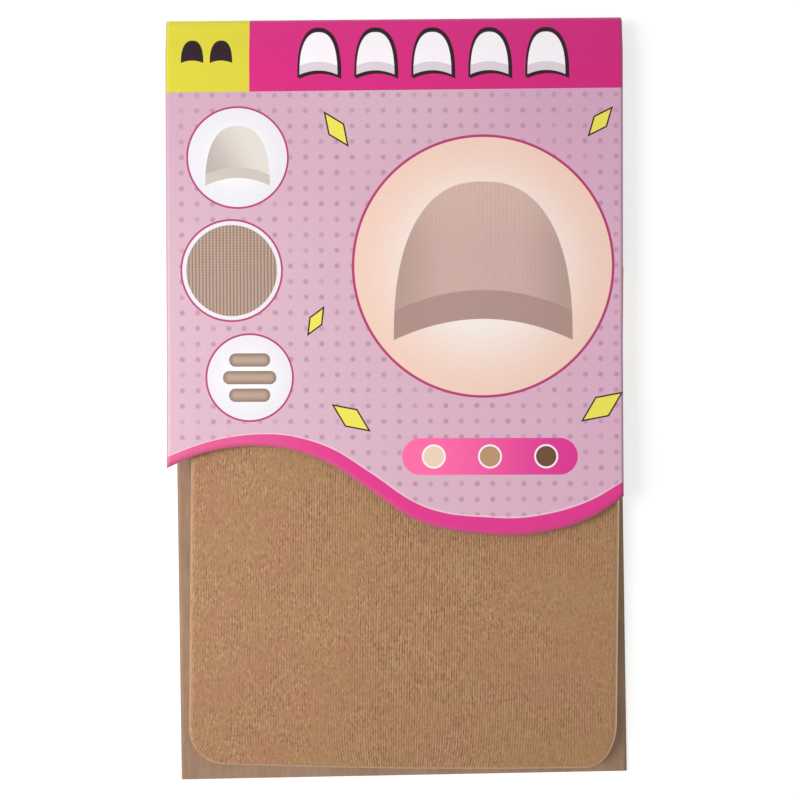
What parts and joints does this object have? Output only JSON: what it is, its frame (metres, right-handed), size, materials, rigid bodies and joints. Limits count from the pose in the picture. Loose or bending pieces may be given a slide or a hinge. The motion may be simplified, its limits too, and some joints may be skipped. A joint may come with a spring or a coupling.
{
  "type": "wig cap on a folded display card",
  "caption": "Knitted nylon wig cap stretched flat over a stiff insert, closed toe down, its hemmed mouth under the wavy printed flap of a folded display card.",
  "frame": {"origin": "middle of the back panel's rear face, half way between the card's lower edge and the outside of its fold", "axes": "+Y along the back panel's sides towards the fold, +Z out of the front towards the viewer, +X to the right as seen from the front; the part lies flat on its back panel"},
  "size_m": [0.1311, 0.22, 0.0075],
  "materials": {
    "printed_board": "coated board, printed pink outside, plain brown inside",
    "grey_board": "uncoated matte board",
    "tan_knit": "fine nylon knit, matte with a soft sheen"
  },
  "bodies": {
    "root": {"display_card": "printed_board", "insert_card": "grey_board", "inner_cap": "tan_knit", "wig_cap": "tan_knit"}
  },
  "joints": []
}
